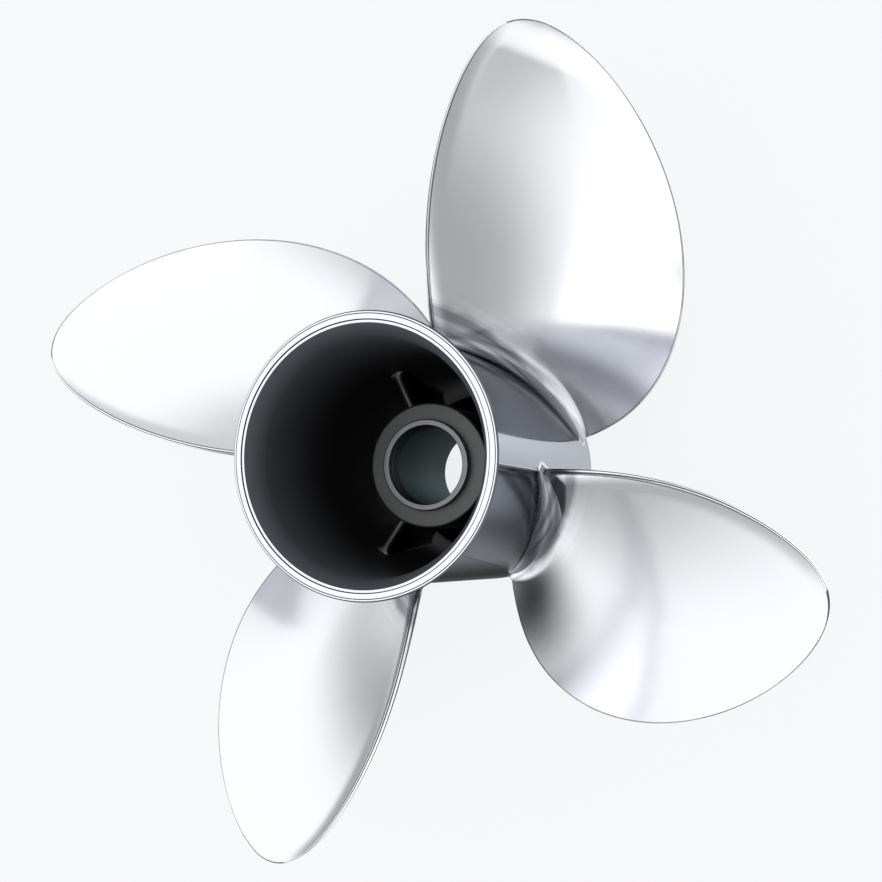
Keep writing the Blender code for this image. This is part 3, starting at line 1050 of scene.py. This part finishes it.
run_trees(
    blades,
    (WRAP, {"Pitch": PITCH}),
    (
        COPIES,
        {
            "Count": BLADES,
            "First angle": math.radians(FIRST_BLADE_ANGLE),
            "Finish": BLADE_STEEL,
            "Painted edge": PAINTED_EDGE_STEEL,
        },
    ),
)

# %% [markdown]
# ## Floor and backdrop
#
# The photograph is cut out on pure white. A sheet of white paper on a light table comes
# close to that in a studio: it glows by itself, so that the propeller casts only a faint
# shadow, and the view through the bore is white as well. It is a shade darker than
# white, so that the burnt-out blades still stand out from it. A dome of the same paper
# closes the view behind. Both are there for the camera alone. The mirror finish ignores
# them, because in the photograph the steel reflects the dark room below the propeller,
# and no paper.
#
# The propeller stands on a ring of black sheet, 3 mm above the paper: painted shade, in
# place of the shadow on the floor inside the forward rim. It also closes the exhaust
# passages from below, so that the chamber stays as black as in the photograph, and
# leaves the bore open.

# %% Lay the paper
FIBRE_SIZE = 3 * MM
FIBRE_HEIGHT = 0.05 * MM


def paper(name, tint, glow):
    """Matt paper: the tint is what it reflects, and the glow what comes through it."""
    material, tree, shader, place = new_material(name)
    bumped(tree, shader, noise(tree, place, FIBRE_SIZE, 2), FIBRE_HEIGHT, 0.2)
    shader.inputs["Base Color"].default_value = linear(tint)
    shader.inputs["Roughness"].default_value = 1
    shader.inputs["Specular IOR Level"].default_value = 0
    shader.inputs["Emission Color"].default_value = linear(glow)
    shader.inputs["Emission Strength"].default_value = 1
    material.cycles.emission_sampling = "NONE"
    return material


STUDIO_RADIUS = 6.0
PAPER_DEPTH = 3 * MM

bpy.ops.mesh.primitive_circle_add(vertices=96, radius=STUDIO_RADIUS, fill_type="NGON")
floor = bpy.context.object
floor.name = "floor"
floor.data.materials.append(paper("paper_on_light_table", "#464648", "#ecedee"))
bpy.ops.mesh.primitive_uv_sphere_add(segments=96, ring_count=48, radius=STUDIO_RADIUS)
backdrop = bpy.context.object
backdrop.name = "backdrop"
backdrop.data.materials.append(paper("backdrop_paper", "#000000", "#f8f9fa"))
for sheet in (floor, backdrop):
    sheet.visible_glossy = False
    sheet.visible_diffuse = False
    sheet.visible_shadow = False
    sheet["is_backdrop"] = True
floor.location.z = -PAPER_DEPTH
# A dark ring under the propeller: painted shade inside the forward rim.
shade_ring_corners = ((51, -0.2), (51, -2), (27.5, -2), (27.5, -0.2))
shade_ring_profile = [(radius * MM, height * MM) for radius, height in shade_ring_corners]
shade_ring = turned("shade_ring_under_hub", shade_ring_profile, 64, paper("black_shade_sheet", "#0c0c0c", "#000000"))
shade_ring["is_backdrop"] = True
print("floor and backdrop reach", STUDIO_RADIUS, "m")

# %% [markdown]
# ## Light
#
# Polished steel shows its surroundings and little else, so the light is built as
# surroundings: a white tent all round, with lamps and white boards, and dark places
# where the tent is open to the room. Each is a round patch of sky with a soft edge,
# given by its direction, its half width and how much light it adds or takes away.
# Azimuth counts from +X towards +Y, elevation from the floor up.
#
# A blade is as bright as the place that it mirrors, so the photograph's tones say where
# it is light and dark. The first twelve patches weren't placed by hand: a least-squares
# fit to those tones, outside this script, gave them, and a search on round numbers
# followed it. The last four were added one by one, where the tones still differed from
# the photograph. What really stood round the propeller isn't known: the names are
# labels.
#
# The Standard view shows a white of strength 1 as pure white, as a product photograph
# does. AgX, the default, would turn it grey.

# %% Hang the tent and light it
bpy.context.scene.view_settings.view_transform = "Standard"
TENT_LIGHT = 1.6
DARKEST = 0.02
PATCHES = [
    # name, azimuth, elevation, half width, soft edge, strength; the angles in degrees
    ("dark doorway on the left", 175, -30, 35, 15, -2.1),
    ("dark floor on the left", 180, -70, 30, 10, -1.3),
    ("gap towards the camera", -20, 35, 20, 20, -1.0),
    ("lamp under the table", 55, -80, 10, 10, 1.5),
    ("open side in front", -100, 0, 25, 20, -1.0),
    ("white board in the doorway", 165, -35, 30, 20, 1.9),
    ("camera", -65, 70, 10, 10, -1.3),
    ("grey wall at the back", 105, -5, 40, 10, -0.6),
    ("white board below the camera", -30, -10, 25, 10, 0.8),
    ("white board on the floor in front", -125, -35, 15, 15, 1.0),
    ("lamp above", -30, 80, 10, 15, 1.9),
    ("lamp in the open side", -90, 20, 15, 15, 1.3),
    ("white board under the right blade", 60, -40, 20, 15, 2.5),
    ("white board under the front edge", -105, -40, 10, 10, 1.0),
    ("dark chair on the left", -160, -10, 10, 10, -0.35),
    ("dark floor in front", -125, -70, 10, 10, -0.2),
]
world = bpy.data.worlds.new("light_tent")
bpy.context.scene.world = world
world.use_nodes = True
tent = world.node_tree
tent.nodes.clear()
direction = add_node(tent, "ShaderNodeTexCoord").outputs["Generated"]
light = TENT_LIGHT
for name, azimuth, elevation, half_width, soft_edge, strength in PATCHES:
    axis = Vector((1, 0, 0))
    axis.rotate(Euler((0, -math.radians(elevation), math.radians(azimuth))))
    facing = add_node(
        tent, "ShaderNodeVectorMath", {0: direction, 1: axis}, operation="DOT_PRODUCT"
    )
    outer = math.cos(math.radians(half_width + soft_edge))
    inner = math.cos(math.radians(max(half_width - soft_edge, 0)))
    patch = ramp(tent, facing.outputs["Value"], outer, inner, high=strength, label=name)
    light = maths(tent, "ADD", light, patch)
light = maths(tent, "MAXIMUM", light, DARKEST)
glow = add_node(tent, "ShaderNodeBackground", {"Color": linear("#ffffff"), "Strength": light})
add_node(tent, "ShaderNodeOutputWorld", {"Surface": glow.outputs["Background"]})
print("the tent has", len(PATCHES), "patches")

# %% [markdown]
# ## Put the pieces on the body
#
# Each piece rides on the one body and names the solids that it stands for, which are
# hidden.

# %% Ride and replace
handed_over = [
    (barrel, "polished_steel", ["hub_barrel"]),
    (ring, "polished_steel", ["flared_ring"]),
    (ridges, "polished_steel", []),
    (blades, "polished_steel", ["blade_1", "blade_2", "blade_3", "blade_4"]),
    (inner_hub, "cast_steel", ["inner_hub"]),
    (collar, "machined_steel", ["nut_collar"]),
    (ribs, "cast_steel", ["rib_1", "rib_2", "rib_3"]),
]
for piece, finish, nodes in handed_over:
    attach(piece, BODY)
    if nodes:
        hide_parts(*nodes)

made_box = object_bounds()
size = [round(side / MM, 1) for side in made_box[1] - made_box[0]]
print("the dressed model's size in mm:", size)
